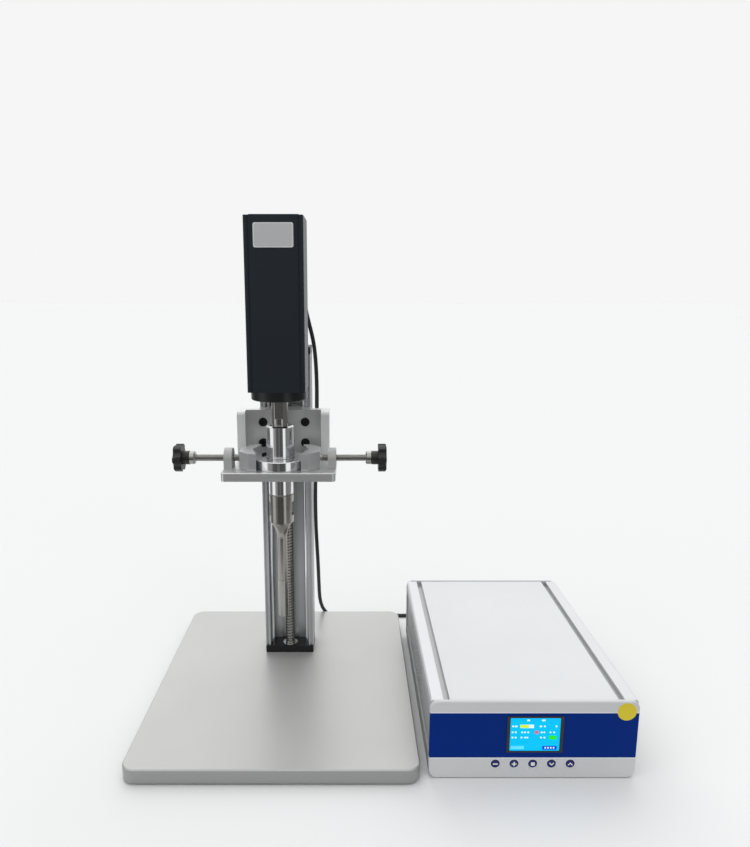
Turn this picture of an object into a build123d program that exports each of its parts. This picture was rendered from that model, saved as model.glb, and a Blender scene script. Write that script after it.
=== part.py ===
from build123d import *
import os
from math import acos, atan2, cos, pi, radians, sin, sqrt, tan

# Probe sonicator: a converter with its horn and probe, held over a base plate by a screw-driven
# column with a jaw clamp, and the generator that drives it through one cable.
# Millimetres. +X is right, +Y is back, +Z is up. The origin is on the bench, under the middle
# of the base plate.

os.makedirs("parts", exist_ok=True)
sides = (("left", -1), ("right", 1))

# Driving dimensions of the base and the column
base_width = 300.0
base_depth = 354.0
base_thickness = 15.0
base_corner_radius = 14.0
base_foot_height = 2.4
base_top = base_foot_height + base_thickness
column_width = 62.0
column_front = 57.5
column_depth = 40.0
column_back = column_front + column_depth
column_top = 417.0
end_block_height = 9.0
channel_half_width = 25.0
channel_floor = 80.5
screw_y = 68.0
screw_diameter = 12.0
screw_journal = 8.0
rod_x = 22.4
rod_diameter = 5.0
running_gap = 0.05

# Driving dimensions of the bracket and its clamp
head_y = -11.0
shelf_top = 286.0
shelf_thickness = 9.5
shelf_half_width = 63.5
shelf_front = -45.0
back_plate_front = 36.4
back_plate_back = 48.5
bracket_top = 343.7
gusset_front = 24.0
gusset_inner = 44.9
gusset_outer = 54.6
jaw_height = 20.0
jaw_inner = 24.9
jaw_shoulder = 33.4
jaw_outer = 45.3
jaw_half_depth = 25.5
jaw_outer_half_depth = 12.5
stud_z = 296.0
stud_diameter = 8.0
stud_pin_diameter = 6.0
ear_inner = 54.3
ear_radius = 11.5
knob_end = 120.8
knob_diameter = 32.0
screw_spacing_x = 50.6
screw_spacing_z = 25.3
screw_row_z = 303.3

# Driving dimensions of the converter, the horn and the probe
housing_width = 62.4
housing_wall = 4.0
housing_bottom = 375.0
housing_top = 557.5
collar_diameter = 63.0
collar_bottom = 364.0
neck_diameter = 18.0
sleeve_diameter = 32.0
sleeve_top = 334.4
flange_diameter = 61.0
flange_thickness = 11.0
horn_diameter = 28.0
horn_top = 254.0
horn_shoulder = 220.4
horn_waist_diameter = 11.0
horn_waist_top = 200.0
tip_top = 148.0
tip_bottom = 102.5
tip_diameter = 12.0
stack_diameter = 44.0

# Driving dimensions of the generator
box_left = 158.8
box_width = 207.4
box_front = -166.3
box_depth = 299.0
box_foot_height = 3.4
box_top = 85.4
panel_bottom = 0.7
panel_thickness = 4.0
panel_corner_radius = 8.0
rail_width = 13.0
groove_width = 6.4
sheet = 1.5
display_x = 263.7
display_z = 49.6
display_width = 56.4
display_height = 40.0
button_middle_x = 263.0
button_pitch = 18.8
button_z = 16.9
button_diameter = 8.6
fan_x = 214.0
fan_z = 44.0
fan_size = 60.0
inlet_x = 335.0
inlet_z = 44.0
socket_x = 278.0
socket_z = 44.0
cable_diameter = 5.2

# Values worked out from the driving dimensions
column_bottom = base_top + end_block_height
profile_top = column_top - end_block_height
column_middle_y = column_front + column_depth / 2
box_right = box_left + box_width
box_back = box_front + box_depth
box_middle_x = box_left + box_width / 2
inner_front = box_front + panel_thickness
inner_back = box_back - panel_thickness
screw_rows = (screw_row_z, screw_row_z + screw_spacing_z)


# Base plate, bolted to the column from below
bolt_points = [(x, y) for x in (-20, 20) for y in (column_front + 8, column_back - 8)]
with BuildPart() as base_plate:
    with BuildSketch(Plane.XY.offset(base_foot_height)):
        RectangleRounded(base_width, base_depth, base_corner_radius)
    extrude(amount=base_thickness)
    top_edge = base_plate.faces().sort_by(Axis.Z)[-1].outer_wire().edges()
    chamfer(top_edge, 1.2)
    with BuildSketch(Plane.XY.offset(base_foot_height)):
        with Locations(bolt_points):
            Circle(6.8)
    extrude(amount=9, mode=Mode.SUBTRACT)
    with BuildSketch(Plane.XY.offset(base_foot_height)):
        with Locations(bolt_points):
            Circle(4.1)
    extrude(amount=base_thickness, mode=Mode.SUBTRACT)
base_plate.part.label = "base_plate"
export_step(base_plate.part, "parts/base_plate.step")

# Socket screws that pull the column down on the base plate
with BuildPart() as column_bolts:
    with BuildSketch(Plane.XY.offset(base_foot_height + 1)):
        with Locations(bolt_points):
            Circle(6.5)
            RegularPolygon(3.5, 6, mode=Mode.SUBTRACT)
    extrude(amount=5)
    with BuildSketch(Plane.XY.offset(base_foot_height + 6)):
        with Locations(bolt_points):
            Circle(6.5)
    extrude(amount=3)
    with BuildSketch(Plane.XY.offset(base_foot_height + 9)):
        with Locations(bolt_points):
            Circle(4.0)
    extrude(amount=11)
column_bolts.part.label = "column_bolts"
export_step(column_bolts.part, "parts/column_bolts.step")

# Rubber feet under the corners and the middle of the base plate, and under the generator
with BuildPart() as rubber_feet:
    with BuildSketch(Plane.XY):
        with GridLocations(base_width - 50, base_depth - 50, 2, 2):
            Circle(12)
        Circle(12)
    extrude(amount=base_foot_height, taper=8)
    with BuildSketch(Plane.XY):
        with Locations((box_middle_x, box_front + box_depth / 2)):
            with GridLocations(box_width - 44, box_depth - 60, 2, 2):
                Circle(9)
    extrude(amount=box_foot_height, taper=8)
rubber_feet.part.label = "rubber_feet"
export_step(rubber_feet.part, "parts/rubber_feet.step")

# Column: an extruded channel, open to the front, with slots in its back and sides
with BuildPart() as column_profile:
    with BuildSketch(Plane.XY.offset(column_bottom)):
        with Locations((0, column_middle_y)):
            Rectangle(column_width, column_depth)
        channel_depth = channel_floor - column_front
        with Locations((0, column_front + channel_depth / 2)):
            Rectangle(2 * channel_half_width, channel_depth, mode=Mode.SUBTRACT)
        with Locations((0, channel_floor + 1)):
            Rectangle(22, 2, mode=Mode.SUBTRACT)
        with Locations((-28.5, column_front + 1), (28.5, column_front + 1)):
            Rectangle(1.8, 2, mode=Mode.SUBTRACT)
        groove_x = column_width / 2 - 0.75
        groove_rows = (column_front + 8, column_front + 17, column_front + 31)
        with Locations([(s * groove_x, y) for s in (-1, 1) for y in groove_rows]):
            Rectangle(1.5, 3, mode=Mode.SUBTRACT)
        with Locations((-15, column_back - 2), (15, column_back - 2)):
            Rectangle(6.2, 4, mode=Mode.SUBTRACT)
        with Locations((-15, column_back - 6), (15, column_back - 6)):
            Rectangle(12, 4, mode=Mode.SUBTRACT)
        with Locations((0, column_back - 5.5)):
            Rectangle(9, 6, mode=Mode.SUBTRACT)
    extrude(amount=profile_top - column_bottom)
column_profile.part.label = "column_profile"
export_step(column_profile.part, "parts/column_profile.step")

# End blocks, which carry the screw's bearings and the ends of the guide rods
bearing_radius = 9.5
bearing_width = 6.0
rod_socket_depth = 3.0
with BuildPart() as end_blocks:
    with BuildSketch(Plane.XY.offset(base_top)):
        with Locations((0, column_middle_y - 1)):
            Rectangle(column_width, column_depth + 2)
    extrude(amount=end_block_height)
    chamfer(end_blocks.edges().filter_by(Axis.Z), 1)
    with BuildSketch(Plane.XY.offset(profile_top)):
        with Locations((0, column_middle_y)):
            Rectangle(column_width, column_depth)
    extrude(amount=end_block_height)
    chamfer(end_blocks.faces().sort_by(Axis.Z)[-1].edges(), 0.8)
    for level, direction in ((column_bottom, -1), (profile_top, 1)):
        with BuildSketch(Plane.XY.offset(level)):
            with Locations((0, screw_y)):
                Circle(bearing_radius)
        extrude(amount=direction * bearing_width, mode=Mode.SUBTRACT)
        with BuildSketch(Plane.XY.offset(level)):
            with Locations((-rod_x, screw_y), (rod_x, screw_y)):
                Circle(rod_diameter / 2 + running_gap)
        extrude(amount=direction * rod_socket_depth, mode=Mode.SUBTRACT)
    with BuildSketch(Plane.XY.offset(profile_top)):
        with Locations((0, screw_y)):
            Circle(screw_journal / 2 + 1)
    extrude(amount=end_block_height, mode=Mode.SUBTRACT)
    with BuildSketch(Plane.XY.offset(base_top)):
        with Locations(bolt_points):
            Circle(4.1)
    extrude(amount=5.1, mode=Mode.SUBTRACT)
end_blocks.part.label = "end_blocks"
export_step(end_blocks.part, "parts/end_blocks.step")

with BuildPart() as screw_bearings:
    for bearing_z in (column_bottom - bearing_width, profile_top):
        with BuildSketch(Plane.XY.offset(bearing_z)):
            with Locations((0, screw_y)):
                Circle(bearing_radius)
                Circle(screw_journal / 2 + running_gap, mode=Mode.SUBTRACT)
        extrude(amount=bearing_width)
screw_bearings.part.label = "screw_bearings"
export_step(screw_bearings.part, "parts/screw_bearings.step")

with BuildPart() as guide_rods:
    with BuildSketch(Plane.XY.offset(column_bottom - rod_socket_depth)):
        with Locations((-rod_x, screw_y), (rod_x, screw_y)):
            Circle(rod_diameter / 2)
    extrude(amount=profile_top - column_bottom + 2 * rod_socket_depth)
guide_rods.part.label = "guide_rods"
export_step(guide_rods.part, "parts/guide_rods.step")

# Lead screw, turned down at both ends for its bearings, with a knurled knob on top
screw_bottom = column_bottom - bearing_width + 0.4
screw_shoulder = 0.6
knob_bottom = column_top + 3
with BuildPart() as lead_screw:
    with BuildSketch(Plane.XZ.offset(-screw_y)):
        with BuildLine():
            Polyline(
                (0, screw_bottom),
                (screw_journal / 2, screw_bottom),
                (screw_journal / 2, column_bottom + screw_shoulder),
                (screw_diameter / 2, column_bottom + screw_shoulder),
                (screw_diameter / 2, profile_top - screw_shoulder),
                (screw_journal / 2, profile_top - screw_shoulder),
                (screw_journal / 2, knob_bottom + 16),
                (0, knob_bottom + 16),
                close=True,
            )
        make_face()
    revolve(axis=Axis((0, screw_y, 0), (0, 0, 1)))
lead_screw.part.label = "lead_screw"
export_step(lead_screw.part, "parts/lead_screw.step")

with BuildPart() as screw_knob:
    with BuildSketch(Plane.XY.offset(knob_bottom)):
        with Locations((0, screw_y)):
            Circle(8)
    extrude(amount=5)
    with BuildSketch(Plane.XY.offset(knob_bottom + 5)):
        with Locations((0, screw_y)):
            Circle(15)
            with PolarLocations(15.6, 18):
                Circle(1.5, mode=Mode.SUBTRACT)
    extrude(amount=15)
    with BuildSketch(Plane.XY.offset(knob_bottom)):
        with Locations((0, screw_y)):
            Circle(screw_journal / 2)
    extrude(amount=16, mode=Mode.SUBTRACT)
screw_knob.part.label = "screw_knob"
export_step(screw_knob.part, "parts/screw_knob.step")

# Carriage: a block that runs in the channel on two rods, with the nut and four bushes in it.
# The rods are close to the channel's sides, so the bushes and their seats are open outwards.
carriage_bottom = 290.0
carriage_height = 54.0
carriage_half_width = channel_half_width - 0.6
table_back = column_front - 1
nut_radius = 10.0
nut_length = 30.0
bush_width = 6.4
bush_depth = 8.0
bush_length = 14.0
bush_x = carriage_half_width - bush_width / 2
with BuildPart() as carriage_block:
    with BuildSketch(Plane.XY.offset(carriage_bottom)):
        with Locations((0, (back_plate_back + channel_floor - 2) / 2)):
            Rectangle(2 * carriage_half_width, channel_floor - 2 - back_plate_back)
        with Locations((0, (back_plate_back + table_back) / 2)):
            Rectangle(column_width, table_back - back_plate_back)
        with Locations((0, screw_y)):
            Circle(screw_diameter / 2 + 1, mode=Mode.SUBTRACT)
        with Locations((-rod_x, screw_y), (rod_x, screw_y)):
            Circle(rod_diameter / 2 + 0.5, mode=Mode.SUBTRACT)
    extrude(amount=carriage_height)
    with BuildSketch(Plane.XY.offset(carriage_bottom)):
        with Locations((0, screw_y)):
            Circle(nut_radius)
    extrude(amount=nut_length, mode=Mode.SUBTRACT)
    for bush_z in (carriage_bottom, carriage_bottom + carriage_height - bush_length):
        with BuildSketch(Plane.XY.offset(bush_z)):
            with Locations((-bush_x, screw_y), (bush_x, screw_y)):
                Rectangle(bush_width, bush_depth)
        extrude(amount=bush_length, mode=Mode.SUBTRACT)
    with BuildSketch(Plane.XZ.offset(-back_plate_back)):
        with Locations([(s * screw_spacing_x / 2, z) for s in (-1, 1) for z in screw_rows]):
            Circle(3.0)
    extrude(amount=-7.5, mode=Mode.SUBTRACT)
carriage_block.part.label = "carriage_block"
export_step(carriage_block.part, "parts/carriage_block.step")

with BuildPart() as screw_nut:
    with BuildSketch(Plane.XY.offset(carriage_bottom)):
        with Locations((0, screw_y)):
            Circle(nut_radius)
    extrude(amount=nut_length)
    with BuildSketch(Plane.XY.offset(carriage_bottom - 5)):
        with Locations((0, screw_y)):
            Circle(nut_radius + 2)
    extrude(amount=5)
    with BuildSketch(Plane.XY.offset(carriage_bottom - 5)):
        with Locations((0, screw_y)):
            Circle(screw_diameter / 2 + running_gap)
    extrude(amount=nut_length + 5, mode=Mode.SUBTRACT)
screw_nut.part.label = "screw_nut"
export_step(screw_nut.part, "parts/screw_nut.step")

with BuildPart() as carriage_bushes:
    for bush_z in (carriage_bottom, carriage_bottom + carriage_height - bush_length):
        with BuildSketch(Plane.XY.offset(bush_z)):
            with Locations((-bush_x, screw_y), (bush_x, screw_y)):
                Rectangle(bush_width, bush_depth)
            with Locations((-rod_x, screw_y), (rod_x, screw_y)):
                Circle(rod_diameter / 2 + running_gap, mode=Mode.SUBTRACT)
        extrude(amount=bush_length)
carriage_bushes.part.label = "carriage_bushes"
export_step(carriage_bushes.part, "parts/carriage_bushes.step")

# Bracket: a back plate between two gussets, all standing on the shelf
screw_points = [(s * screw_spacing_x / 2, z) for s in (-1, 1) for z in screw_rows]
with BuildPart() as bracket_back_plate:
    with BuildSketch(Plane.XY.offset(shelf_top)):
        with Locations((0, (back_plate_front + back_plate_back) / 2)):
            Rectangle(2 * gusset_inner, back_plate_back - back_plate_front)
    extrude(amount=bracket_top - shelf_top)
    with BuildSketch(Plane.XZ.offset(-back_plate_front)):
        with Locations(screw_points):
            Circle(5.5)
    extrude(amount=-6.5, mode=Mode.SUBTRACT)
    with BuildSketch(Plane.XZ.offset(-back_plate_front)):
        with Locations(screw_points):
            Circle(3.2)
    extrude(amount=back_plate_front - back_plate_back, mode=Mode.SUBTRACT)
bracket_back_plate.part.label = "bracket_back_plate"
export_step(bracket_back_plate.part, "parts/bracket_back_plate.step")

with BuildPart() as bracket_screws:
    with BuildSketch(Plane.XZ.offset(-back_plate_front - 0.5)):
        with Locations(screw_points):
            Circle(5.1)
            RegularPolygon(2.9, 6, mode=Mode.SUBTRACT)
    extrude(amount=-3)
    with BuildSketch(Plane.XZ.offset(-back_plate_front - 3.5)):
        with Locations(screw_points):
            Circle(5.1)
    extrude(amount=-3)
    with BuildSketch(Plane.XZ.offset(-back_plate_front - 6.5)):
        with Locations(screw_points):
            Circle(3.0)
    extrude(amount=-13)
bracket_screws.part.label = "bracket_screws"
export_step(bracket_screws.part, "parts/bracket_screws.step")

with BuildPart() as bracket_gussets:
    for side, sign in sides:
        with BuildSketch(Plane.YZ.offset(sign * gusset_inner)):
            with BuildLine():
                Polyline(
                    (gusset_front, shelf_top),
                    (back_plate_back, shelf_top),
                    (back_plate_back, bracket_top),
                    (gusset_front, bracket_top),
                    close=True,
                )
            make_face()
        extrude(amount=sign * (gusset_outer - gusset_inner))
    front_top = bracket_gussets.edges().filter_by(Axis.X).filter_by_position(
        Axis.Z, bracket_top - 0.1, bracket_top + 0.1
    )
    fillet(front_top.filter_by_position(Axis.Y, gusset_front - 0.1, gusset_front + 0.1), 5)
bracket_gussets.part.label = "bracket_gussets"
export_step(bracket_gussets.part, "parts/bracket_gussets.step")

with BuildPart() as bracket_shelf:
    with BuildSketch(Plane.XY.offset(shelf_top - shelf_thickness)):
        with Locations((0, (shelf_front + back_plate_back) / 2)):
            Rectangle(2 * shelf_half_width, back_plate_back - shelf_front)
        with Locations((0, head_y)):
            Circle(20, mode=Mode.SUBTRACT)
    extrude(amount=shelf_thickness)
    fillet(bracket_shelf.edges().filter_by(Axis.Z), 4.5)
    chamfer(bracket_shelf.faces().sort_by(Axis.Z)[-1].outer_wire().edges(), 0.6)
bracket_shelf.part.label = "bracket_shelf"
export_step(bracket_shelf.part, "parts/bracket_shelf.step")

# Ears, round over the clamp studs that are threaded through them
with BuildPart() as stud_ears:
    for side, sign in sides:
        with BuildSketch(Plane.YZ.offset(sign * ear_inner)):
            with Locations((head_y, stud_z)):
                Circle(ear_radius)
            with Locations((head_y, (shelf_top + stud_z) / 2)):
                Rectangle(2 * ear_radius, stud_z - shelf_top)
            with Locations((head_y, shelf_top - ear_radius)):
                Rectangle(2 * ear_radius, 2 * ear_radius, mode=Mode.SUBTRACT)
            with Locations((head_y, stud_z)):
                Circle(stud_diameter / 2 + running_gap, mode=Mode.SUBTRACT)
        extrude(amount=sign * (shelf_half_width - ear_inner))
stud_ears.part.label = "stud_ears"
export_step(stud_ears.part, "parts/stud_ears.step")

# Jaws: blocks with a shallow vee that close on the booster's flange
vee_clearance = 0.2
vee_reach = flange_diameter / 2 + vee_clearance
vee_half_width = jaw_half_depth - 1.5
# The vee's apex lies where a face through the inner corner is tangent to the flange
corner_distance = sqrt(jaw_inner**2 + vee_half_width**2)
corner_bearing = atan2(vee_half_width, jaw_inner)
tangent_bearing = corner_bearing - acos(vee_reach / corner_distance)
vee_apex = vee_reach / cos(tangent_bearing)
slide_clearance = 0.2
jaw_bottom = shelf_top + slide_clearance
jaw_bore_depth = 9.0
for side, sign in sides:
    with BuildPart() as jaw:
        with BuildSketch(Plane.XY.offset(jaw_bottom)):
            with BuildLine():
                Polyline(
                    (sign * vee_apex, head_y),
                    (sign * jaw_inner, head_y - vee_half_width),
                    (sign * jaw_inner, head_y - jaw_half_depth),
                    (sign * jaw_shoulder, head_y - jaw_half_depth),
                    (sign * jaw_outer, head_y - jaw_outer_half_depth),
                    (sign * jaw_outer, head_y + jaw_outer_half_depth),
                    (sign * jaw_shoulder, head_y + jaw_half_depth),
                    (sign * jaw_inner, head_y + jaw_half_depth),
                    (sign * jaw_inner, head_y + vee_half_width),
                    close=True,
                )
            make_face()
        extrude(amount=jaw_height - slide_clearance)
        with BuildSketch(Plane.YZ.offset(sign * jaw_outer)):
            with Locations((head_y, stud_z)):
                Circle(stud_pin_diameter / 2 + running_gap)
        extrude(amount=-sign * jaw_bore_depth, mode=Mode.SUBTRACT)
    jaw.part.label = f"{side}_jaw"
    export_step(jaw.part, f"parts/{side}_jaw.step")

# Clamp studs: a pin turns in the jaw, the thread runs in the ear, and a collar seats the knob
collar_inner = 97.5
collar_outer = 103.8
knob_face = 111.5
for side, sign in sides:
    with BuildPart() as stud:
        with BuildSketch(Plane.XZ.offset(-head_y)):
            with BuildLine():
                Polyline(
                    (sign * (jaw_outer - jaw_bore_depth + 0.5), stud_z),
                    (sign * (jaw_outer - jaw_bore_depth + 0.5), stud_z + stud_pin_diameter / 2),
                    (sign * (jaw_outer + 0.7), stud_z + stud_pin_diameter / 2),
                    (sign * (jaw_outer + 0.7), stud_z + stud_diameter / 2),
                    (sign * collar_inner, stud_z + stud_diameter / 2),
                    (sign * collar_inner, stud_z + 6.5),
                    (sign * (collar_inner + 1), stud_z + 7.5),
                    (sign * collar_outer, stud_z + 7.5),
                    (sign * collar_outer, stud_z + stud_diameter / 2),
                    (sign * knob_face, stud_z + stud_diameter / 2),
                    (sign * knob_face, stud_z),
                    close=True,
                )
            make_face()
        revolve(axis=Axis((0, head_y, stud_z), (1, 0, 0)))
    stud.part.label = f"{side}_clamp_stud"
    export_step(stud.part, f"parts/{side}_clamp_stud.step")

# Knobs: a round hub under a head with six lobes
for side, sign in sides:
    with BuildPart() as knob:
        with BuildSketch(Plane.YZ.offset(sign * collar_outer)):
            with Locations((head_y, stud_z)):
                Circle(7.8)
        extrude(amount=sign * (knob_face - collar_outer))
        with BuildSketch(Plane.YZ.offset(sign * knob_face)):
            with Locations((head_y, stud_z)):
                Circle(knob_diameter / 2)
                with PolarLocations(knob_diameter / 2 + 3.2, 6, start_angle=30):
                    Circle(6.4, mode=Mode.SUBTRACT)
        extrude(amount=sign * (knob_end - knob_face))
        with BuildSketch(Plane.YZ.offset(sign * collar_outer)):
            with Locations((head_y, stud_z)):
                Circle(stud_diameter / 2)
        extrude(amount=sign * (knob_face - collar_outer), mode=Mode.SUBTRACT)
        chamfer(knob.faces().sort_by(Axis.X)[-1 if sign > 0 else 0].edges(), 1.2)
    knob.part.label = f"{side}_knob"
    export_step(knob.part, f"parts/{side}_knob.step")

# Converter housing: a square extrusion with a fine groove beside each corner
groove_offset = housing_width / 2 - 5
with BuildPart() as converter_housing:
    with BuildSketch(Plane.XY.offset(housing_bottom)):
        with Locations((0, head_y)):
            RectangleRounded(housing_width, housing_width, 2)
            Rectangle(housing_width - 2 * housing_wall, housing_width - 2 * housing_wall,
                      mode=Mode.SUBTRACT)
        face_offset = housing_width / 2 - 0.4
        with Locations([(s * groove_offset, head_y + t * face_offset) for s in (-1, 1) for t in (-1, 1)]):
            Rectangle(1.2, 0.8, mode=Mode.SUBTRACT)
        with Locations([(s * face_offset, head_y + t * groove_offset) for s in (-1, 1) for t in (-1, 1)]):
            Rectangle(0.8, 1.2, mode=Mode.SUBTRACT)
    extrude(amount=housing_top - housing_bottom)
    with BuildSketch(Plane.XZ.offset(-(head_y + housing_width / 2))):
        with Locations((20, 500)):
            Circle(5)
    extrude(amount=housing_wall, mode=Mode.SUBTRACT)
converter_housing.part.label = "converter_housing"
export_step(converter_housing.part, "parts/converter_housing.step")

with BuildPart() as converter_top_cap:
    with BuildSketch(Plane.XY.offset(housing_top)):
        with Locations((0, head_y)):
            RectangleRounded(housing_width, housing_width, 2)
    extrude(amount=2)
    with BuildSketch(Plane.XY.offset(housing_top + 2)):
        with Locations((0, head_y)):
            RectangleRounded(2 * groove_offset, 2 * groove_offset, 2)
    extrude(amount=1.1)
    with BuildSketch(Plane.XY.offset(housing_top - 4)):
        with Locations((0, head_y)):
            Rectangle(housing_width - 2 * housing_wall - 0.2, housing_width - 2 * housing_wall - 0.2)
    extrude(amount=4)
converter_top_cap.part.label = "converter_top_cap"
export_step(converter_top_cap.part, "parts/converter_top_cap.step")

with BuildPart() as converter_collar:
    with BuildSketch(Plane.XY.offset(collar_bottom)):
        with Locations((0, head_y)):
            Circle(collar_diameter / 2)
            Circle(neck_diameter / 2 + 1, mode=Mode.SUBTRACT)
    extrude(amount=housing_bottom - collar_bottom)
    fillet(converter_collar.faces().sort_by(Axis.Z)[0].outer_wire().edges(), 1.5)
converter_collar.part.label = "converter_collar"
export_step(converter_collar.part, "parts/converter_collar.step")

# The driven stack in the housing: front mass, piezo rings with electrodes, back mass and bolt
ring_thickness = 6.0
electrode_thickness = 0.5
ring_count = 4
front_mass_top = 412.0
stack_top = front_mass_top + ring_count * (ring_thickness + electrode_thickness)
back_mass_top = stack_top + 40
bolt_radius = 6.0
bolt_depth = 20.0
stud_length = 30.0
coupling_stud_radius = 5.0
with BuildPart() as front_mass:
    with BuildSketch(Plane.XZ.offset(-head_y)):
        with BuildLine():
            Polyline(
                (0, sleeve_top),
                (neck_diameter / 2, sleeve_top),
                (neck_diameter / 2, housing_bottom),
                (26, housing_bottom),
                (26, housing_bottom + 4),
                (stack_diameter / 2, housing_bottom + 4),
                (stack_diameter / 2, front_mass_top),
                (bolt_radius, front_mass_top),
                (bolt_radius, front_mass_top - bolt_depth),
                (0, front_mass_top - bolt_depth),
                close=True,
            )
        make_face()
    revolve(axis=Axis((0, head_y, 0), (0, 0, 1)))
    with BuildSketch(Plane.XY.offset(342)):
        with Locations((0, head_y - 12.5), (0, head_y + 12.5)):
            Rectangle(24, 10)
    extrude(amount=20, mode=Mode.SUBTRACT)
    with BuildSketch(Plane.XY.offset(sleeve_top)):
        with Locations((0, head_y)):
            Circle(coupling_stud_radius)
    extrude(amount=stud_length / 2, mode=Mode.SUBTRACT)
front_mass.part.label = "front_mass"
export_step(front_mass.part, "parts/front_mass.step")

with BuildPart() as piezo_rings:
    for i in range(ring_count):
        with BuildSketch(Plane.XY.offset(front_mass_top + i * (ring_thickness + electrode_thickness))):
            with Locations((0, head_y)):
                Circle(stack_diameter / 2)
                Circle(bolt_radius + 2.5, mode=Mode.SUBTRACT)
        extrude(amount=ring_thickness)
piezo_rings.part.label = "piezo_rings"
export_step(piezo_rings.part, "parts/piezo_rings.step")

with BuildPart() as electrodes:
    for i in range(ring_count):
        level = front_mass_top + (i + 1) * ring_thickness + i * electrode_thickness
        with BuildSketch(Plane.XY.offset(level)):
            with Locations((0, head_y)):
                Circle(stack_diameter / 2)
            with Locations((0, head_y + stack_diameter / 2)):
                Rectangle(6, 8)
            with Locations((0, head_y)):
                Circle(bolt_radius + 2.5, mode=Mode.SUBTRACT)
        extrude(amount=electrode_thickness)
electrodes.part.label = "electrodes"
export_step(electrodes.part, "parts/electrodes.step")

with BuildPart() as back_mass:
    with BuildSketch(Plane.XY.offset(stack_top)):
        with Locations((0, head_y)):
            Circle(stack_diameter / 2)
            Circle(bolt_radius + 0.3, mode=Mode.SUBTRACT)
    extrude(amount=back_mass_top - stack_top)
    chamfer(back_mass.faces().sort_by(Axis.Z)[-1].outer_wire().edges(), 2)
back_mass.part.label = "back_mass"
export_step(back_mass.part, "parts/back_mass.step")

with BuildPart() as stack_bolt:
    with BuildSketch(Plane.XY.offset(front_mass_top - bolt_depth)):
        with Locations((0, head_y)):
            Circle(bolt_radius)
    extrude(amount=back_mass_top - front_mass_top + bolt_depth)
    with BuildSketch(Plane.XY.offset(back_mass_top)):
        with Locations((0, head_y)):
            Circle(10)
    extrude(amount=12)
    with BuildSketch(Plane.XY.offset(back_mass_top + 12)):
        with Locations((0, head_y)):
            RegularPolygon(5.8, 6)
    extrude(amount=-7, mode=Mode.SUBTRACT)
stack_bolt.part.label = "stack_bolt"
export_step(stack_bolt.part, "parts/stack_bolt.step")

# Booster: turned from one bar, with the flange that the jaws clamp and a sleeve above it
flange_top = shelf_top + flange_thickness
with BuildPart() as booster:
    with BuildSketch(Plane.XZ.offset(-head_y)):
        with BuildLine():
            Polyline(
                (0, horn_top),
                (horn_diameter / 2 - 0.8, horn_top),
                (horn_diameter / 2, horn_top + 0.8),
                (horn_diameter / 2, shelf_top),
                (flange_diameter / 2 - 0.6, shelf_top),
                (flange_diameter / 2, shelf_top + 0.6),
                (flange_diameter / 2, flange_top - 0.6),
                (flange_diameter / 2 - 0.6, flange_top),
                (sleeve_diameter / 2 + 1.5, flange_top),
                (sleeve_diameter / 2 + 1.5, flange_top - 1),
                (sleeve_diameter / 2, flange_top - 1),
                (sleeve_diameter / 2, sleeve_top - 1.8),
                (sleeve_diameter / 2 - 1.8, sleeve_top),
                (0, sleeve_top),
                close=True,
            )
        make_face()
    revolve(axis=Axis((0, head_y, 0), (0, 0, 1)))
    for joint_z, direction in ((horn_top, 1), (sleeve_top, -1)):
        with BuildSketch(Plane.XY.offset(joint_z)):
            with Locations((0, head_y)):
                Circle(coupling_stud_radius)
        extrude(amount=direction * stud_length / 2, mode=Mode.SUBTRACT)
booster.part.label = "booster"
export_step(booster.part, "parts/booster.step")

# Threaded studs that join the front mass, the booster and the horn
with BuildPart() as coupling_studs:
    for joint_z in (horn_top, sleeve_top):
        with BuildSketch(Plane.XY.offset(joint_z - stud_length / 2)):
            with Locations((0, head_y)):
                Circle(coupling_stud_radius)
        extrude(amount=stud_length)
coupling_studs.part.label = "coupling_studs"
export_step(coupling_studs.part, "parts/coupling_studs.step")

# Horn: a thick end with spanner flats, and a round sweep down to a slim waist
with BuildPart() as horn:
    with BuildSketch(Plane.XZ.offset(-head_y)):
        with BuildLine():
            Polyline(
                (0, tip_top),
                (horn_waist_diameter / 2, tip_top),
                (horn_waist_diameter / 2, horn_waist_top),
            )
            TangentArc(
                (horn_waist_diameter / 2, horn_waist_top),
                (horn_diameter / 2, horn_shoulder),
                tangent=(0, 1),
            )
            Polyline(
                (horn_diameter / 2, horn_shoulder),
                (horn_diameter / 2, horn_top - 0.8),
                (horn_diameter / 2 - 0.8, horn_top),
                (0, horn_top),
                (0, tip_top),
            )
        make_face()
    revolve(axis=Axis((0, head_y, 0), (0, 0, 1)))
    with BuildSketch(Plane.XY.offset(229)):
        with Locations((-17, head_y), (17, head_y)):
            Rectangle(10, 30)
    extrude(amount=16, mode=Mode.SUBTRACT)
    with BuildSketch(Plane.XY.offset(horn_top)):
        with Locations((0, head_y)):
            Circle(coupling_stud_radius)
    extrude(amount=-stud_length / 2, mode=Mode.SUBTRACT)
horn.part.label = "horn"
export_step(horn.part, "parts/horn.step")

# Replaceable tip, with a threaded root in the horn
with BuildPart() as probe_tip:
    with BuildSketch(Plane.XY.offset(tip_bottom)):
        with Locations((0, head_y)):
            Circle(tip_diameter / 2)
    extrude(amount=tip_top - tip_bottom)
    chamfer(probe_tip.faces().sort_by(Axis.Z)[0].edges(), 0.5)
    fillet(probe_tip.faces().sort_by(Axis.Z)[-1].edges(), 0.4)
probe_tip.part.label = "probe_tip"
export_step(probe_tip.part, "parts/probe_tip.step")

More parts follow.
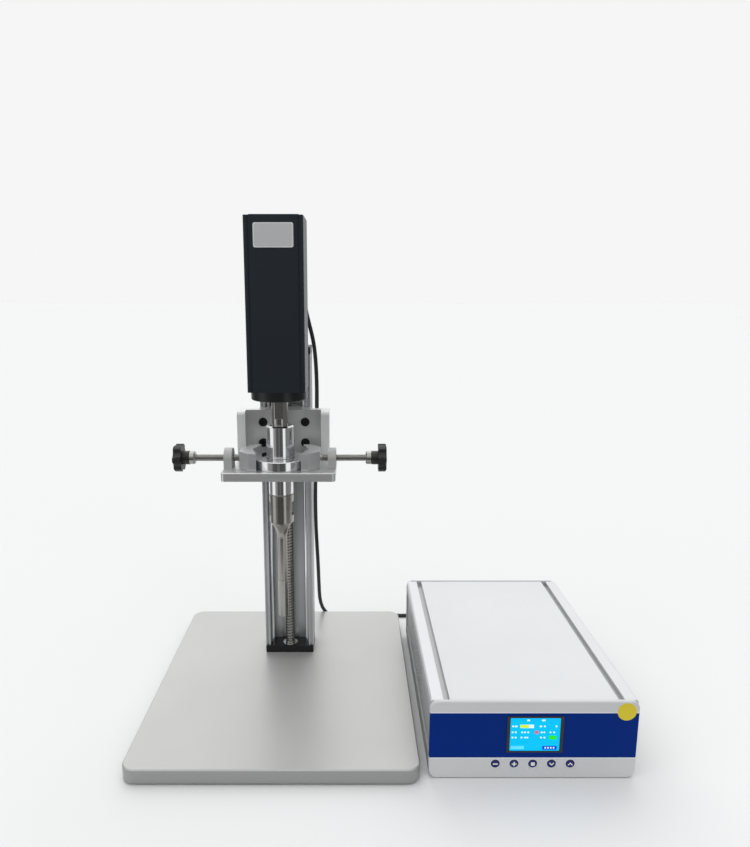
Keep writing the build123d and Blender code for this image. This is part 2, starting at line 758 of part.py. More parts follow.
# Gland that holds the cable in the back of the housing
gland_x = 20.0
gland_z = 500.0
housing_back = head_y + housing_width / 2
gland_end = housing_back + 22
with BuildPart() as cable_gland:
    with BuildSketch(Plane.XZ.offset(-housing_back)):
        with Locations((gland_x, gland_z)):
            RegularPolygon(8.5, 6)
    extrude(amount=-5)
    with BuildSketch(Plane.XZ.offset(-housing_back - 5)):
        with Locations((gland_x, gland_z)):
            Circle(7.2)
    extrude(amount=-9, taper=6)
    with BuildSketch(Plane.XZ.offset(-housing_back - 14)):
        with Locations((gland_x, gland_z)):
            Circle(5.6)
    extrude(amount=-(gland_end - housing_back - 14), taper=10)
    with BuildSketch(Plane.XZ.offset(-housing_back)):
        with Locations((gland_x, gland_z)):
            Circle(4.9)
    extrude(amount=housing_wall + 2)
cable_gland.part.label = "cable_gland"
export_step(cable_gland.part, "parts/cable_gland.step")

# Generator tray: a bent sheet with low sides
tray_side = 17.0
with BuildPart() as generator_tray:
    with BuildSketch(Plane.XZ.offset(-inner_front)):
        with Locations((box_middle_x, box_foot_height + tray_side / 2)):
            Rectangle(box_width - 1, tray_side)
        with Locations((box_middle_x, box_foot_height + sheet + tray_side / 2)):
            Rectangle(box_width - 1 - 2 * sheet, tray_side, mode=Mode.SUBTRACT)
    extrude(amount=inner_front - inner_back)
generator_tray.part.label = "generator_tray"
export_step(generator_tray.part, "parts/generator_tray.step")

# Side rails: extrusions along the top corners, each with the ledge that carries the cover
rail_top = box_top - 0.5
rail_height = 14.0
ledge_top = rail_top - 5
with BuildPart() as side_rails:
    for side, sign in sides:
        edge = box_middle_x + sign * (box_width / 2 - 0.5)
        with BuildSketch(Plane.XZ.offset(-inner_front)):
            with BuildLine():
                Polyline(
                    (edge, rail_top - rail_height),
                    (edge, rail_top - 1.5),
                    (edge - sign * 1.5, rail_top),
                    (edge - sign * rail_width, rail_top),
                    (edge - sign * rail_width, ledge_top),
                    (edge - sign * (rail_width + groove_width + 4), ledge_top),
                    (edge - sign * (rail_width + groove_width + 4), ledge_top - sheet),
                    (edge - sign * (rail_width - sheet), ledge_top - sheet),
                    (edge - sign * (rail_width - sheet), rail_top - sheet),
                    (edge - sign * sheet, rail_top - sheet),
                    (edge - sign * sheet, rail_top - rail_height),
                    close=True,
                )
            make_face()
        extrude(amount=inner_front - inner_back)
side_rails.part.label = "side_rails"
export_step(side_rails.part, "parts/side_rails.step")

# Top cover: a plate with turned-down edges that stand on the ledges
cover_half = box_width / 2 - 0.5 - rail_width - groove_width
with BuildPart() as top_cover:
    with BuildSketch(Plane.XZ.offset(-inner_front)):
        with Locations((box_middle_x, (rail_top + ledge_top) / 2)):
            Rectangle(2 * cover_half, rail_top - ledge_top)
        with Locations((box_middle_x, (rail_top + ledge_top) / 2 - sheet)):
            Rectangle(2 * (cover_half - sheet), rail_top - ledge_top, mode=Mode.SUBTRACT)
    extrude(amount=inner_front - inner_back)
top_cover.part.label = "top_cover"
export_step(top_cover.part, "parts/top_cover.step")

# Side panels with a field of vent holes
vent_pitch = 8.0
with BuildPart() as side_panels:
    for side, sign in sides:
        panel_face = box_middle_x + sign * (box_width / 2 - 0.5 - sheet)
        panel_low = box_foot_height + sheet
        panel_high = rail_top - sheet
        with BuildSketch(Plane.YZ.offset(panel_face)):
            with Locations(((inner_front + inner_back) / 2, (panel_low + panel_high) / 2)):
                Rectangle(inner_back - inner_front, panel_high - panel_low)
            for row in range(5):
                shift = vent_pitch / 2 * (row % 2)
                with Locations((6 + shift, 32 + row * 7)):
                    with GridLocations(vent_pitch, 1, 18, 1):
                        RegularPolygon(2.3, 6, mode=Mode.SUBTRACT)
        extrude(amount=-sign * sheet)
side_panels.part.label = "side_panels"
export_step(side_panels.part, "parts/side_panels.step")

# Front panel, with the display window and five button holes
panel_middle_z = (panel_bottom + box_top) / 2
panel_height = box_top - panel_bottom
button_points = [(button_middle_x + (i - 2) * button_pitch, button_z) for i in range(5)]
with BuildPart() as front_panel:
    with BuildSketch(Plane.XZ.offset(-box_front)):
        with Locations((box_middle_x, panel_middle_z)):
            RectangleRounded(box_width, panel_height, panel_corner_radius)
        with Locations((display_x, display_z)):
            Rectangle(display_width, display_height, mode=Mode.SUBTRACT)
        with Locations(button_points):
            Circle(button_diameter / 2 + 0.3, mode=Mode.SUBTRACT)
    extrude(amount=-panel_thickness)
    chamfer(front_panel.faces().sort_by(Axis.Y)[0].outer_wire().edges(), 0.8)
front_panel.part.label = "front_panel"
export_step(front_panel.part, "parts/front_panel.step")

# Display seated in the window, on a board that also carries the switches under the buttons
panel_board_front = box_front - 0.6 + 8.4
with BuildPart() as display_module:
    with BuildSketch(Plane.XZ.offset(-box_front + 0.6)):
        with Locations((display_x, display_z)):
            Rectangle(display_width, display_height)
    extrude(amount=-8.4)
    with BuildSketch(Plane.XZ.offset(-box_front + 0.6)):
        with Locations((display_x, display_z)):
            Rectangle(50, 36.5)
    extrude(amount=-0.6, mode=Mode.SUBTRACT)
    with BuildSketch(Plane.XZ.offset(-panel_board_front)):
        with Locations((display_x, 41)):
            Rectangle(100, 62)
    extrude(amount=-1.6)
    with BuildSketch(Plane.XZ.offset(-panel_board_front)):
        with Locations(button_points):
            Rectangle(6, 6)
    extrude(amount=1.6)
display_module.part.label = "display_module"
export_step(display_module.part, "parts/display_module.step")

# Buttons: round caps with a rim behind the panel
button_proud = 0.8
for i, (button_x, z) in enumerate(button_points):
    with BuildPart() as button:
        with BuildSketch(Plane.XZ.offset(-box_front + button_proud)):
            with Locations((button_x, z)):
                Circle(button_diameter / 2)
        extrude(amount=-(panel_thickness + button_proud + 0.2))
        chamfer(button.faces().sort_by(Axis.Y)[0].edges(), 0.4)
        with BuildSketch(Plane.XZ.offset(-inner_front - 0.1)):
            with Locations((button_x, z)):
                Circle(button_diameter / 2 + 1)
        extrude(amount=-0.9)
    button.part.label = f"button_{i + 1}"
    export_step(button.part, f"parts/button_{i + 1}.step")

# Rear panel, cut out for the fan, the output socket and the mains inlet
inlet_width = 27.0
inlet_height = 58.0
rocker_y = box_back - 5.0
rocker_z = inlet_z + 14.5
rocker_tilt = radians(6)
rocker_pin_radius = 1.0
rocker_plane = Plane(
    origin=(inlet_x, rocker_y, rocker_z),
    x_dir=(0, cos(rocker_tilt), sin(rocker_tilt)),
    z_dir=(1, 0, 0),
)
with BuildPart() as rear_panel:
    with BuildSketch(Plane.XZ.offset(-inner_back)):
        with Locations((box_middle_x, panel_middle_z)):
            RectangleRounded(box_width, panel_height, panel_corner_radius)
        with Locations((fan_x, fan_z)):
            Circle(28, mode=Mode.SUBTRACT)
        with Locations((inlet_x, inlet_z)):
            Rectangle(inlet_width, inlet_height, mode=Mode.SUBTRACT)
        with Locations((socket_x, socket_z)):
            Circle(9.5, mode=Mode.SUBTRACT)
    extrude(amount=-panel_thickness)
    chamfer(rear_panel.faces().sort_by(Axis.Y)[-1].outer_wire().edges(), 0.8)
rear_panel.part.label = "rear_panel"
export_step(rear_panel.part, "parts/rear_panel.step")

# Cooling fan: frame with motor post, rotor, and the guard on the rear panel
fan_depth = 25.0
fan_front = inner_back - fan_depth
with BuildPart() as fan_frame:
    with BuildSketch(Plane.XZ.offset(-fan_front)):
        with Locations((fan_x, fan_z)):
            RectangleRounded(fan_size, fan_size, 4)
            Circle(28.5, mode=Mode.SUBTRACT)
    extrude(amount=-fan_depth)
    with BuildSketch(Plane.XZ.offset(-fan_front)):
        with Locations((fan_x, fan_z)):
            Rectangle(59, 4)
            Rectangle(4, 59)
            Circle(14)
    extrude(amount=-3)
    with BuildSketch(Plane.XZ.offset(-fan_front - 3)):
        with Locations((fan_x, fan_z)):
            Circle(3)
    extrude(amount=-13)
fan_frame.part.label = "fan_frame"
export_step(fan_frame.part, "parts/fan_frame.step")

blade_count = 7
with BuildPart() as fan_rotor:
    with BuildSketch(Plane.XZ.offset(-fan_front - 4)):
        with Locations((fan_x, fan_z)):
            Circle(14)
    extrude(amount=-17)
    with BuildSketch(Plane.XZ.offset(-fan_front - 4)):
        with Locations((fan_x, fan_z)):
            Circle(3 + running_gap)
    extrude(amount=-13, mode=Mode.SUBTRACT)
    for i in range(blade_count):
        angle = 2 * pi * i / blade_count
        root = Plane(
            origin=(fan_x + 13 * cos(angle), fan_front + 12.5, fan_z + 13 * sin(angle)),
            x_dir=(-sin(angle) * 0.8, 0.6, cos(angle) * 0.8),
            z_dir=(cos(angle), 0, sin(angle)),
        )
        with BuildSketch(root):
            Rectangle(17, 1.4)
        extrude(amount=13.5)
fan_rotor.part.label = "fan_rotor"
export_step(fan_rotor.part, "parts/fan_rotor.step")

with BuildPart() as fan_guard:
    with BuildSketch(Plane.XZ.offset(-box_back - 1.5)):
        for radius in (8, 15, 22, 29):
            with Locations((fan_x, fan_z)):
                Circle(radius)
                Circle(radius - 1.6, mode=Mode.SUBTRACT)
    extrude(amount=-1.5)
    with BuildSketch(Plane.XZ.offset(-box_back)):
        with Locations((fan_x, fan_z)):
            with PolarLocations(19.5, 4, start_angle=45):
                Rectangle(30, 2)
    extrude(amount=-1.5)
fan_guard.part.label = "fan_guard"
export_step(fan_guard.part, "parts/fan_guard.step")

# Mains inlet with the frame of the power switch above it
with BuildPart() as power_inlet:
    with BuildSketch(Plane.XZ.offset(-box_back)):
        with Locations((inlet_x, inlet_z)):
            RectangleRounded(inlet_width + 6, inlet_height + 6, 3)
    extrude(amount=-2.5)
    with BuildSketch(Plane.XZ.offset(-box_back)):
        with Locations((inlet_x, inlet_z)):
            Rectangle(inlet_width - 0.4, inlet_height - 0.4)
    extrude(amount=22)
    with BuildSketch(Plane.XZ.offset(-box_back - 2.5)):
        with Locations((inlet_x, inlet_z - 14)):
            RectangleRounded(22.6, 16, 3)
        with Locations((inlet_x, inlet_z + 14.5)):
            Rectangle(13.6, 20)
    extrude(amount=18, mode=Mode.SUBTRACT)
    with BuildSketch(rocker_plane.offset(-8.5)):
        Circle(rocker_pin_radius + running_gap)
    extrude(amount=17, mode=Mode.SUBTRACT)
    with BuildSketch(Plane.XZ.offset(-box_back + 15.5)):
        with Locations((inlet_x - 7, inlet_z - 16), (inlet_x + 7, inlet_z - 16), (inlet_x, inlet_z - 12)):
            Rectangle(2, 4)
    extrude(amount=-15)
power_inlet.part.label = "power_inlet"
export_step(power_inlet.part, "parts/power_inlet.step")

# Power rocker, a bent cap that tips on a cross pin
with BuildPart() as power_rocker:
    with BuildSketch(rocker_plane.offset(-6)):
        with BuildLine():
            Polyline(
                (-4, -4),
                (5.2, -8.6),
                (9.1, -8.8),
                (7.4, 0),
                (9.1, 8.8),
                (5.2, 8.6),
                (-4, 4),
                close=True,
            )
        make_face()
    extrude(amount=12)
    with BuildSketch(rocker_plane.offset(-8)):
        Circle(rocker_pin_radius)
    extrude(amount=16)
power_rocker.part.label = "power_rocker"
export_step(power_rocker.part, "parts/power_rocker.step")

# Output socket on the rear panel and the plug that the cable ends in
with BuildPart() as output_socket:
    with BuildSketch(Plane.XZ.offset(-box_back)):
        with Locations((socket_x, socket_z)):
            RectangleRounded(26, 26, 3)
    extrude(amount=-2.5)
    with BuildSketch(Plane.XZ.offset(-box_back)):
        with Locations((socket_x, socket_z)):
            Circle(9.4)
    extrude(amount=16)
    with BuildSketch(Plane.XZ.offset(-box_back - 2.5)):
        with Locations((socket_x, socket_z)):
            Circle(9.4)
    extrude(amount=-6)
output_socket.part.label = "output_socket"
export_step(output_socket.part, "parts/output_socket.step")

plug_front = box_back + 8.5
plug_end = plug_front + 44
with BuildPart() as cable_plug:
    with BuildSketch(Plane.XY.offset(socket_z)):
        with BuildLine():
            Polyline(
                (socket_x, plug_front),
                (socket_x + 11.5, plug_front),
                (socket_x + 11.5, plug_front + 12),
                (socket_x + 9.5, plug_front + 13),
                (socket_x + 9.5, plug_front + 26),
                (socket_x + 6.5, plug_front + 28),
                (socket_x + 4.6, plug_end),
                (socket_x, plug_end),
                close=True,
            )
        make_face()
    revolve(axis=Axis((socket_x, 0, socket_z), (0, 1, 0)))
cable_plug.part.label = "cable_plug"
export_step(cable_plug.part, "parts/cable_plug.step")

# Power board on the tray, with capacitors, an output transformer and a finned heat sink
tray_floor = box_foot_height + sheet
board_top = tray_floor + 7.6
with BuildPart() as power_board:
    with BuildSketch(Plane.XY.offset(tray_floor + 6)):
        with Locations((box_middle_x - 6, -40)):
            Rectangle(160, 180)
    extrude(amount=1.6)
    with BuildSketch(Plane.XY.offset(tray_floor)):
        with Locations((box_middle_x - 6, -40)):
            with GridLocations(148, 168, 2, 2):
                Circle(3)
    extrude(amount=6)
    with BuildSketch(Plane.XY.offset(board_top)):
        with Locations((200, -95), (226, -95), (252, -95)):
            Circle(11)
    extrude(amount=30)
    with BuildSketch(Plane.XY.offset(board_top)):
        with Locations((305, -80)):
            Rectangle(50, 42)
    extrude(amount=40)
    with BuildSketch(Plane.XY.offset(board_top + 8)):
        with Locations((305, -80)):
            RectangleRounded(34, 58, 8)
    extrude(amount=24)
    with BuildSketch(Plane.XZ.offset(55)):
        with Locations((245, board_top + 2.5)):
            Rectangle(70, 5)
        with Locations((245, board_top + 21)):
            with GridLocations(11.2, 1, 7, 1):
                Rectangle(2.4, 34)
    extrude(amount=-80)
power_board.part.label = "power_board"
export_step(power_board.part, "parts/power_board.step")


# Cable: from the gland down behind the column, along the bench, round a coil, and to the plug
def cord_tube(name, route):
    """A tube of straight runs joined by arcs as large as the runs allow."""
    points = [Vector(*point) for point in route]
    radii = []
    for before, here, after in zip(points, points[1:], points[2:]):
        turn = radians((here - before).get_angle(after - here))
        shorter = min((here - before).length, (after - here).length)
        radii.append(0.45 * shorter / tan(turn / 2))
    with BuildPart() as tube:
        with BuildLine() as path:
            FilletPolyline(*points, radius=radii)
        with BuildSketch(Plane(origin=points[0], z_dir=points[1] - points[0])):
            Circle(cable_diameter / 2)
        sweep()
    tube.part.label = name
    export_step(tube.part, f"parts/{name}.step")
    length = sum(edge.length for edge in path.edges())
    section = pi * cable_diameter**2 / 4
    print(name, "length", round(length, 1), "volume ratio", round(tube.part.volume / (section * length), 4))
    print(name, "radii", [round(radius) for radius in radii])
    return length


rest = cable_diameter / 2
drop_foot = (34.4, 144.5, 89)
coil_centre = (315, 250)
coil_mean_radius = 37.0
coil_turns = 3.75
coil_layers = 2
coil_half_width = cable_diameter
hanging_route = [
    (gland_x, gland_end, gland_z),
    (gland_x, 64, gland_z),
    (20.5, 84, 489),
    (23.5, 98.5, 461),
    (28.4, 104.5, 439.5),
    (32.5, 108, 421),
    (34.8, 111, 400),
    (36.1, 112, 370),
    (36.0, 112, 338),
    (35.0, 112, 300),
    (33.7, 112, 262),
    (32.6, 112.3, 215),
    (32.8, 114.5, 172),
    (34.0, 122.5, 135),
    (34.4, 136, 106),
    drop_foot,
]
floor_route = [
    drop_foot,
    (34.4, 187.7, rest),
    (92, 192, rest),
    (142, 192.5, rest),
    (184, 194, rest),
    (228, 199, rest),
    (266, 207, rest),
    (coil_centre[0] - 20, coil_centre[1] - coil_mean_radius, rest),
    (coil_centre[0], coil_centre[1] - coil_mean_radius + 3, rest),
]
tail_route = [
    (socket_x, plug_end, socket_z),
    (socket_x, 200, socket_z),
    (socket_x - 1, 215, 38),
    (socket_x - 2, 229, 25),
    (socket_x - 1, 244, 12),
    (socket_x + 2, 262, 3 * rest),
]
hanging_length = cord_tube("cable_drop", hanging_route)
floor_length = cord_tube("cable_floor", floor_route)
tail_length = cord_tube("cable_tail", tail_route)

with BuildPart() as cable_coil:
    with BuildSketch(Plane.XY):
        with Locations(coil_centre):
            Circle(coil_mean_radius + coil_half_width)
            Circle(coil_mean_radius - coil_half_width, mode=Mode.SUBTRACT)
    extrude(amount=coil_layers * cable_diameter)
cable_coil.part.label = "cable_coil"
export_step(cable_coil.part, "parts/cable_coil.step")
coil_length = 2 * pi * coil_mean_radius * coil_turns
print("cable length", round(hanging_length + floor_length + tail_length + coil_length))
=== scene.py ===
from math import ceil, cos, pi, radians, sin

import bpy
from mathutils import Matrix, Vector


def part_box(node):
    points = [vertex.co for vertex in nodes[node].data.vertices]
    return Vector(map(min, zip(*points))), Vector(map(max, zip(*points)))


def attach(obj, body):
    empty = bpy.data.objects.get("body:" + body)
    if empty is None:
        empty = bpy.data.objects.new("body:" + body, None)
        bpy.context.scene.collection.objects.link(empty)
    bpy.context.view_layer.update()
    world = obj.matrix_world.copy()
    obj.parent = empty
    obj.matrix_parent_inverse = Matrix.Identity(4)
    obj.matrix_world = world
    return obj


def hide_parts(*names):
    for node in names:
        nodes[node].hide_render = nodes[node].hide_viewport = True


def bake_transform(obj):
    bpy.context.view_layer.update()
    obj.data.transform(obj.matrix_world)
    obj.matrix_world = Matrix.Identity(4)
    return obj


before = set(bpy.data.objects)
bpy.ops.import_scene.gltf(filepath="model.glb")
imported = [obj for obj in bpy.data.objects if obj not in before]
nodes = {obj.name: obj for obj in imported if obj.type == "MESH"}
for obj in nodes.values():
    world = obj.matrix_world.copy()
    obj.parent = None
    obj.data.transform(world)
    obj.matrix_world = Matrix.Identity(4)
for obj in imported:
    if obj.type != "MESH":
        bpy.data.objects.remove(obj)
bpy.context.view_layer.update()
scene = bpy.context.scene
mm = 0.001

# Camera, at the photograph's viewing angle
photo_height = 847.0
focal_length = 696.7
photo_middle = (375.0, 423.5)
optical_middle = (351.0, 434.5)
camera_pitch = 11.33
camera_place = (80.5 * mm, -787.7 * mm, 478.56 * mm)
camera_data = bpy.data.cameras.new("camera")
camera_data.sensor_fit = "VERTICAL"
camera_data.sensor_height = 36.0
camera_data.lens = focal_length / photo_height * camera_data.sensor_height
camera_data.shift_x = (photo_middle[0] - optical_middle[0]) / photo_height
camera_data.shift_y = (optical_middle[1] - photo_middle[1]) / photo_height
camera = bpy.data.objects.new("camera", camera_data)
camera.location = camera_place
camera.rotation_euler = (radians(90 - camera_pitch), 0, 0)
scene.collection.objects.link(camera)
scene.camera = camera
scene.view_settings.view_transform = "Standard"


# Meshes
crest_share = 0.13
flank_share = 0.12


def add_mesh(name, points, faces, smooth=True):
    mesh = bpy.data.meshes.new(name)
    mesh.from_pydata([tuple(point) for point in points], [], faces)
    mesh.validate()
    for polygon in mesh.polygons:
        polygon.use_smooth = smooth
    piece = bpy.data.objects.new(name, mesh)
    scene.collection.objects.link(piece)
    return piece


def rounded_outline(x, z, width, height, radius, steps=6):
    """Points of a rounded rectangle in the XZ plane, anticlockwise as seen from the front."""
    points = []
    for turn, (sx, sz) in enumerate(((1, 1), (-1, 1), (-1, -1), (1, -1))):
        corner_x = x + sx * (width / 2 - radius)
        corner_z = z + sz * (height / 2 - radius)
        for step in range(steps + 1):
            angle = (turn + step / steps) * pi / 2
            points.append((corner_x + radius * cos(angle), corner_z + radius * sin(angle)))
    return points


def round_outline(x, z, radius, steps=40):
    turn = 2 * pi / steps
    return [(x + radius * cos(i * turn), z + radius * sin(i * turn)) for i in range(steps)]


def front_plate(name, outline, front, thickness, hole=None):
    """A plate with its face towards -Y, its outline in the XZ plane in millimetres."""
    rings = [outline] if hole is None else [outline, hole]
    count = len(outline)
    points = []
    for ring in rings:
        for y in (front, front + thickness):
            points += [(x * mm, y * mm, z * mm) for x, z in ring]
    faces = []
    for i in range(count):
        j = (i + 1) % count
        faces.append((i, j, count + j, count + i))
        if hole is not None:
            a = 2 * count
            faces.append((a + j, a + i, a + count + i, a + count + j))
            faces.append((j, i, a + i, a + j))
            faces.append((count + i, count + j, a + count + j, a + count + i))
    if hole is None:
        faces.append(tuple(reversed(range(count))))
        faces.append(tuple(range(count, 2 * count)))
    return add_mesh(name, points, faces, smooth=False)


def turned_bar(name, sections, matrix, pitch=1.0, around=40, rows_per_turn=10):
    """A bar along Z, in sections of (start, end, radius, thread depth), all in millimetres."""
    rows = []
    for start, end, radius, depth in sections:
        count = 1 if depth == 0 else ceil((end - start) / pitch * rows_per_turn)
        rows += [(start + (end - start) * i / count, radius, depth) for i in range(count + 1)]
    points = []
    for z, radius, depth in rows:
        for i in range(around):
            phase = (z / pitch - i / around) % 1.0
            groove = min(1.0, max(0.0, (abs(phase - 0.5) - crest_share) / flank_share))
            reach = radius - depth * (1 - groove)
            angle = 2 * pi * i / around
            points.append((reach * cos(angle) * mm, reach * sin(angle) * mm, z * mm))
    faces = []
    for row in range(len(rows) - 1):
        for i in range(around):
            j = (i + 1) % around
            a = row * around
            faces.append((a + i, a + j, a + around + j, a + around + i))
    faces.append(tuple(reversed(range(around))))
    faces.append(tuple(len(points) - around + i for i in range(around)))
    piece = add_mesh(name, points, faces, smooth=False)
    piece.data.transform(matrix)
    return piece


# Materials
def new_material(name, colour, metallic, roughness, specular=0.5):
    material = bpy.data.materials.new(name)
    material.use_nodes = True
    shader = material.node_tree.nodes["Principled BSDF"]
    shader.inputs["Base Color"].default_value = (*colour, 1)
    shader.inputs["Metallic"].default_value = metallic
    shader.inputs["Roughness"].default_value = roughness
    shader.inputs["Specular IOR Level"].default_value = specular
    return material, shader


def maths(tree, operation, first, second):
    """The result of an operation on two values, each a number or a socket."""
    node = tree.nodes.new("ShaderNodeMath")
    node.operation = operation
    for socket, value in zip(node.inputs, (first, second)):
        if isinstance(value, (int, float)):
            socket.default_value = value
        else:
            tree.links.new(value, socket)
    return node.outputs["Value"]


def smooth_step(tree, value, low, high):
    """0 at low, 1 at high, and a soft change between them."""
    step = tree.nodes.new("ShaderNodeMapRange")
    step.interpolation_type = "SMOOTHSTEP"
    step.inputs["From Min"].default_value = low
    step.inputs["From Max"].default_value = high
    tree.links.new(value, step.inputs["Value"])
    return step.outputs["Result"]


def place_axes(tree, kind="Object"):
    """The X, Y and Z of a point on an object, or of a direction in the room."""
    coordinates = tree.nodes.new("ShaderNodeTexCoord")
    split = tree.nodes.new("ShaderNodeSeparateXYZ")
    tree.links.new(coordinates.outputs[kind], split.inputs["Vector"])
    return split.outputs


def band_mask(tree, low, high, axis="Z"):
    """1 between two places along an axis, and 0 on both sides of them."""
    place = place_axes(tree)[axis]
    over = maths(tree, "GREATER_THAN", place, low)
    under = maths(tree, "LESS_THAN", place, high)
    return maths(tree, "MULTIPLY", over, under)


def object_noise(tree, scale, detail=4.0):
    coordinates = tree.nodes.new("ShaderNodeTexCoord")
    mapping = tree.nodes.new("ShaderNodeMapping")
    mapping.inputs["Scale"].default_value = scale
    noise = tree.nodes.new("ShaderNodeTexNoise")
    noise.inputs["Scale"].default_value = 1.0
    noise.inputs["Detail"].default_value = detail
    tree.links.new(coordinates.outputs["Object"], mapping.inputs["Vector"])
    tree.links.new(mapping.outputs["Vector"], noise.inputs["Vector"])
    return noise.outputs["Fac"]


def spread(tree, value, low, high):
    """The value's middle half stretched from low to high."""
    ramp = tree.nodes.new("ShaderNodeMapRange")
    ramp.inputs["From Min"].default_value = 0.3
    ramp.inputs["From Max"].default_value = 0.7
    ramp.inputs["To Min"].default_value = low
    ramp.inputs["To Max"].default_value = high
    tree.links.new(value, ramp.inputs["Value"])
    return ramp.outputs["Result"]


def mixed(tree, factor, first, second):
    """A colour between two others, each a colour or a socket."""
    mix = tree.nodes.new("ShaderNodeMix")
    mix.data_type = "RGBA"
    tree.links.new(factor, mix.inputs["Factor"])
    for socket, value in ((mix.inputs[6], first), (mix.inputs[7], second)):
        if isinstance(value, tuple):
            socket.default_value = (*value, 1)
        else:
            tree.links.new(value, socket)
    return mix.outputs[2]


def surface(name, colour, metallic=0.0, roughness=(0.35, 0.45), grain=(900, 900, 900), relief=0.01,
            mottle=0.05, cloud=(14, 14, 14), edge=0.25, specular=0.5):
    """A material with a fine grain, an uneven gloss and tint, and slightly rounded edges."""
    material, shader = new_material(name, colour, metallic, sum(roughness) / 2, specular)
    tree = material.node_tree
    fine = object_noise(tree, grain)
    tree.links.new(spread(tree, fine, *roughness), shader.inputs["Roughness"])
    broad = object_noise(tree, cloud, 2.0)
    darker = tuple(channel * (1 - mottle) for channel in colour)
    lighter = tuple(min(1.0, channel * (1 + mottle)) for channel in colour)
    tint = mixed(tree, spread(tree, broad, 0, 1), darker, lighter)
    tree.links.new(tint, shader.inputs["Base Color"])
    bump = tree.nodes.new("ShaderNodeBump")
    bump.inputs["Strength"].default_value = 1.0
    bump.inputs["Distance"].default_value = relief * mm
    tree.links.new(fine, bump.inputs["Height"])
    if edge:
        rounding = tree.nodes.new("ShaderNodeBevel")
        rounding.samples = 4
        rounding.inputs["Radius"].default_value = edge * mm
        tree.links.new(rounding.outputs["Normal"], bump.inputs["Normal"])
    tree.links.new(bump.outputs["Normal"], shader.inputs["Normal"])
    return material


def recolour(material, colour, low, high, axis="Z"):
    """Another colour between two places along an axis: painted shade on sides and in recesses, or a printed
    band.
    """
    tree = material.node_tree
    shader = tree.nodes["Principled BSDF"]
    plain = shader.inputs["Base Color"].links[0].from_socket
    banded = mixed(tree, band_mask(tree, low, high, axis), plain, colour)
    tree.links.new(banded, shader.inputs["Base Color"])


# Finishes: name, colour, metallic, roughness, grain, relief in millimetres, mottle
blasted = (1500, 1500, 1500)
turned_rings = (60, 60, 5000)
along_z = (3500, 3500, 25)
along_x = (25, 3500, 3500)
along_y = (3000, 30, 3000)
base_metal_and_shade = surface("base_metal_and_shade", (0.455, 0.458, 0.45), 0.35, (0.32, 0.44), blasted, 0.008, 0.02)
bracket_metal = surface("bracket_metal", (0.68, 0.685, 0.68), 0.8, (0.28, 0.38), along_x, 0.006, 0.03)
ear_metal = surface("ear_metal", (0.46, 0.465, 0.46), 0.2, (0.45, 0.55), blasted, 0.006, 0.03)
gusset_metal = surface("gusset_metal", (0.84, 0.85, 0.85), 0.15, (0.34, 0.44), blasted, 0.006, 0.03)
jaw_metal = surface("jaw_metal", (0.66, 0.67, 0.675), 0.82, (0.32, 0.42), blasted, 0.006, 0.03)
profile_metal = surface("profile_metal", (0.56, 0.57, 0.58), 0.7, (0.30, 0.42), along_z, 0.008, 0.03)
chrome_metal = surface("chrome_metal", (0.80, 0.80, 0.81), 1.0, (0.06, 0.12), turned_rings, 0.002, 0.01)
horn_metal = surface("horn_metal", (0.33, 0.32, 0.30), 1.0, (0.15, 0.25), turned_rings, 0.004, 0.04)
steel_metal = surface("steel_metal", (0.35, 0.345, 0.33), 1.0, (0.14, 0.24), blasted, 0.003, 0.03)
rod_metal = surface("rod_metal", (0.82, 0.82, 0.83), 1.0, (0.06, 0.12), along_z, 0.002, 0.02)
black_oxide = surface("black_oxide", (0.020, 0.020, 0.022), 0.6, (0.30, 0.42), blasted, 0.004, 0.1)
bronze_metal = surface("bronze_metal", (0.50, 0.33, 0.13), 1.0, (0.25, 0.38), turned_rings, 0.004, 0.06)
housing_finish = surface("housing_finish", (0.013, 0.020, 0.027), 0.2, (0.34, 0.46), along_z, 0.006, 0.06,
                         specular=0.4)
collar_finish = surface("collar_finish", (0.010, 0.011, 0.012), 0.3, (0.26, 0.38), turned_rings, 0.004, 0.06)
knob_plastic = surface("knob_plastic", (0.012, 0.012, 0.013), 0.0, (0.34, 0.50), blasted, 0.012, 0.1,
                       edge=0.6)
cover_paint = surface("cover_paint", (0.67, 0.685, 0.70), 0.1, (0.40, 0.50), blasted, 0.006, 0.015)
rail_paint_and_shade = surface("rail_paint_and_shade", (0.65, 0.665, 0.68), 0.3, (0.30, 0.40), along_y, 0.006, 0.02)
side_paint = surface("side_paint", (0.34, 0.345, 0.35), 0.1, (0.40, 0.52), blasted, 0.010, 0.04)
zinc_metal = surface("zinc_metal", (0.55, 0.56, 0.57), 1.0, (0.28, 0.42), blasted, 0.004, 0.08)
black_plastic = surface("black_plastic", (0.014, 0.014, 0.015), 0.0, (0.38, 0.55), blasted, 0.012, 0.08)
rubber = surface("rubber", (0.016, 0.016, 0.016), 0.0, (0.60, 0.75), blasted, 0.015, 0.1)
jacket = surface("jacket", (0.012, 0.012, 0.013), 0.0, (0.34, 0.48), (400, 400, 400), 0.010, 0.1, edge=0)
ceramic = surface("ceramic", (0.72, 0.68, 0.58), 0.0, (0.45, 0.6), blasted, 0.006, 0.05)
copper_metal = surface("copper_metal", (0.70, 0.36, 0.20), 1.0, (0.28, 0.4), blasted, 0.004, 0.08)
board_finish = surface("board_finish", (0.02, 0.14, 0.06), 0.0, (0.30, 0.42), blasted, 0.01, 0.08)
button_gloss = surface("button_gloss", (0.004, 0.006, 0.11), 0.0, (0.18, 0.28), blasted, 0.003, 0.05,
                       edge=0.4)
mark_white = surface("mark_white", (0.80, 0.82, 0.84), 0.0, (0.40, 0.5), blasted, 0.002, 0.02, edge=0)
label_grey = surface("label_grey", (0.60, 0.62, 0.62), 0.1, (0.42, 0.52), blasted, 0.004, 0.02, edge=0)
